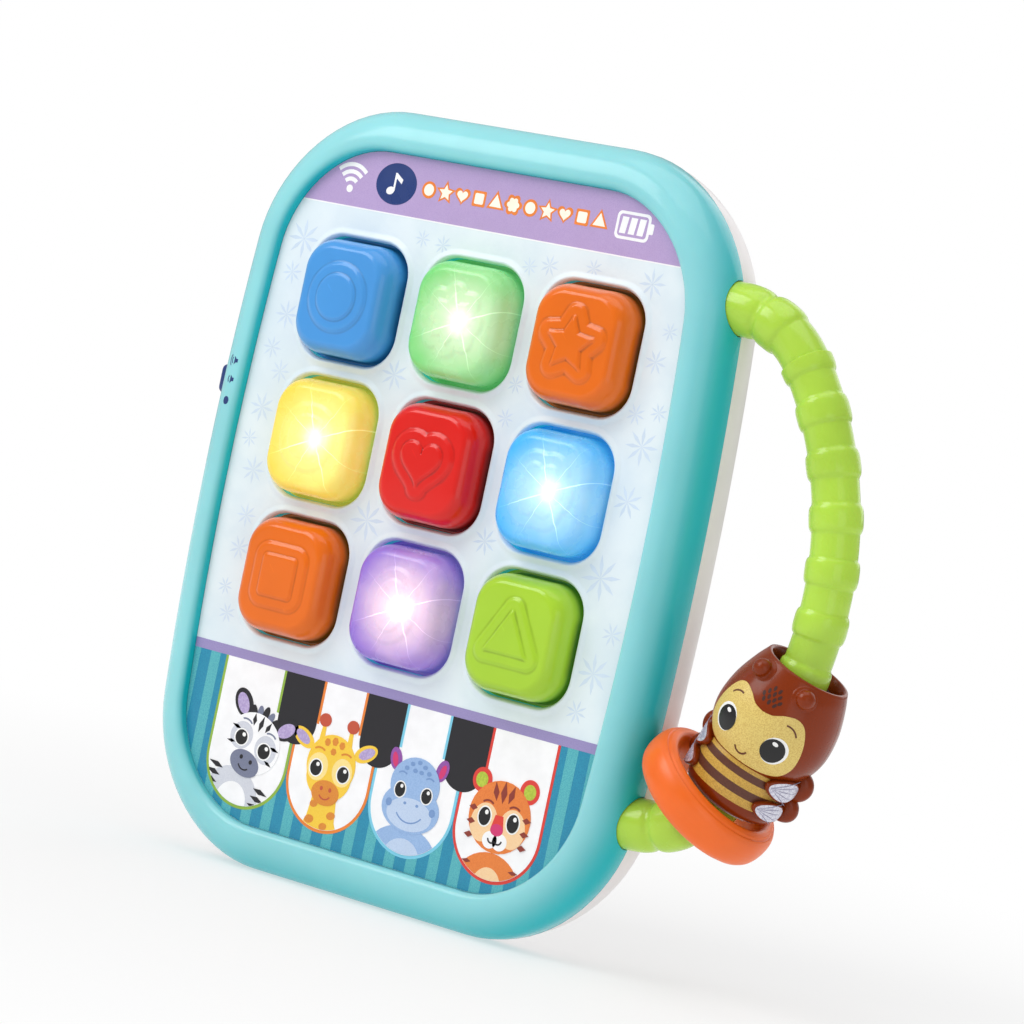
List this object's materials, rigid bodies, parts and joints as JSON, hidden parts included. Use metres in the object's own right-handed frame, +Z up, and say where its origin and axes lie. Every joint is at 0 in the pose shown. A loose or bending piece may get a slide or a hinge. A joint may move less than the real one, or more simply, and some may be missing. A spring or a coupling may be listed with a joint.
{
  "type": "toy tablet",
  "caption": "Rounded upright toy tablet with soft lit square buttons, a picture piano strip and a beaded side handle carrying a ring and a turning bee.",
  "frame": {"origin": "middle of the flat bottom edge of the front housing, in the plane of the handle", "axes": "+Z up to the tablet's top edge, -Y out of the button face, +X to the handle side"},
  "size_m": [0.2108, 0.0404, 0.2116],
  "materials": {
    "teal_plastic": "satin moulded teal",
    "white_plastic": "fine satin off-white",
    "printed_panel": "printed sheet with soft relief",
    "blue_rubber": "soft satin blue silicone",
    "green_rubber": "translucent pale green silicone",
    "orange_rubber": "soft satin orange silicone",
    "yellow_rubber": "translucent yellow silicone",
    "red_rubber": "soft satin red silicone",
    "sky_rubber": "translucent sky blue silicone",
    "violet_rubber": "translucent violet silicone",
    "lime_rubber": "soft satin lime silicone",
    "lime_plastic": "satin lime plastic",
    "orange_plastic": "satin orange plastic",
    "bee_yellow": "fine pearl yellow",
    "bee_brown": "glossy brown",
    "board_green": "solder mask green",
    "black_plastic": "matt black",
    "baffle_white": "matt white",
    "contact_film": "amber film",
    "led_lens": "clear white lens",
    "steel": "zinc plated",
    "cell_wrap": "printed sleeve",
    "paper_cone": "matt paper cone",
    "copper_pad": "bare copper",
    "wire_red": "soft sleeve",
    "wire_grey": "soft sleeve"
  },
  "bodies": {
    "case": {"front_housing": "teal_plastic", "rear_housing": "white_plastic", "face_panel": "printed_panel", "light_baffle": "baffle_white", "contact_sheet": "contact_film", "main_circuit_board": "board_green", "touch_board": "board_green", "speaker_frame": "steel", "speaker_cone": "paper_cone", "speaker_magnet": "steel", "battery_1": "cell_wrap", "battery_2": "cell_wrap", "contact_spring_1": "steel", "contact_spring_2": "steel", "contact_plate_1": "steel", "contact_plate_2": "steel", "slide_switch": "steel", "touch_lead": "wire_grey", "battery_lead": "wire_red", "speaker_lead": "wire_grey", "switch_lead": "wire_grey", "handle_rod": "lime_plastic", "led_1": "led_lens", "led_2": "led_lens", "led_3": "led_lens", "led_4": "led_lens", "led_5": "led_lens", "led_6": "led_lens", "led_7": "led_lens", "led_8": "led_lens", "led_9": "led_lens", "case_screw_1": "steel", "case_screw_2": "steel", "case_screw_3": "steel", "case_screw_4": "steel", "case_screw_5": "steel", "case_screw_6": "steel", "touch_pad_1": "copper_pad", "touch_pad_2": "copper_pad", "touch_pad_3": "copper_pad", "touch_pad_4": "copper_pad"},
    "button_top_left": {"button_cap_1": "blue_rubber"},
    "button_top_middle": {"button_cap_2": "green_rubber"},
    "button_top_right": {"button_cap_3": "orange_rubber"},
    "button_centre_left": {"button_cap_4": "yellow_rubber"},
    "button_centre": {"button_cap_5": "red_rubber"},
    "button_centre_right": {"button_cap_6": "sky_rubber"},
    "button_bottom_left": {"button_cap_7": "orange_rubber"},
    "button_bottom_middle": {"button_cap_8": "violet_rubber"},
    "button_bottom_right": {"button_cap_9": "lime_rubber"},
    "volume_knob": {"volume_knob": "black_plastic"},
    "battery_door": {"battery_door": "white_plastic", "door_screw": "steel"},
    "ring": {"ring": "orange_plastic"},
    "bee_bush": {"bee_bush": "black_plastic"},
    "bee": {"bee_front_shell": "bee_yellow", "bee_rear_shell": "bee_brown"}
  },
  "joints": [
    {"name": "press_top_left", "type": "slide", "parent": "case", "child": "button_top_left", "axis": [0, 1, 0], "range_m": [0, 0.0025], "stiffness_N_per_m": 900},
    {"name": "press_top_middle", "type": "slide", "parent": "case", "child": "button_top_middle", "axis": [0, 1, 0], "range_m": [0, 0.0025], "stiffness_N_per_m": 900},
    {"name": "press_top_right", "type": "slide", "parent": "case", "child": "button_top_right", "axis": [0, 1, 0], "range_m": [0, 0.0025], "stiffness_N_per_m": 900},
    {"name": "press_centre_left", "type": "slide", "parent": "case", "child": "button_centre_left", "axis": [0, 1, 0], "range_m": [0, 0.0025], "stiffness_N_per_m": 900},
    {"name": "press_centre", "type": "slide", "parent": "case", "child": "button_centre", "axis": [0, 1, 0], "range_m": [0, 0.0025], "stiffness_N_per_m": 900},
    {"name": "press_centre_right", "type": "slide", "parent": "case", "child": "button_centre_right", "axis": [0, 1, 0], "range_m": [0, 0.0025], "stiffness_N_per_m": 900},
    {"name": "press_bottom_left", "type": "slide", "parent": "case", "child": "button_bottom_left", "axis": [0, 1, 0], "range_m": [0, 0.0025], "stiffness_N_per_m": 900},
    {"name": "press_bottom_middle", "type": "slide", "parent": "case", "child": "button_bottom_middle", "axis": [0, 1, 0], "range_m": [0, 0.0025], "stiffness_N_per_m": 900},
    {"name": "press_bottom_right", "type": "slide", "parent": "case", "child": "button_bottom_right", "axis": [0, 1, 0], "range_m": [0, 0.0025], "stiffness_N_per_m": 900},
    {"name": "volume_slide", "type": "slide", "parent": "case", "child": "volume_knob", "axis": [0, 0, 1], "range_m": [-0.005, 0.005]},
    {"name": "door_lift", "type": "slide", "parent": "case", "child": "battery_door", "axis": [0, 1, 0], "range_m": [0, 0.03]},
    {"name": "ring_slide", "type": "hinge", "parent": "case", "child": "ring", "pos_m": [0.027, 0, 0.108], "axis": [0, -1, 0], "range_deg": [0, 24]},
    {"name": "bee_slide", "type": "hinge", "parent": "ring", "child": "bee_bush", "pos_m": [0.027, 0, 0.108], "axis": [0, -1, 0], "range_deg": [0, 24]},
    {"name": "bee_spin", "type": "hinge", "parent": "bee_bush", "child": "bee", "pos_m": [0.11086, 0, 0.0724], "axis": [0.3907, 0, 0.9205], "continuous": true}
  ]
}
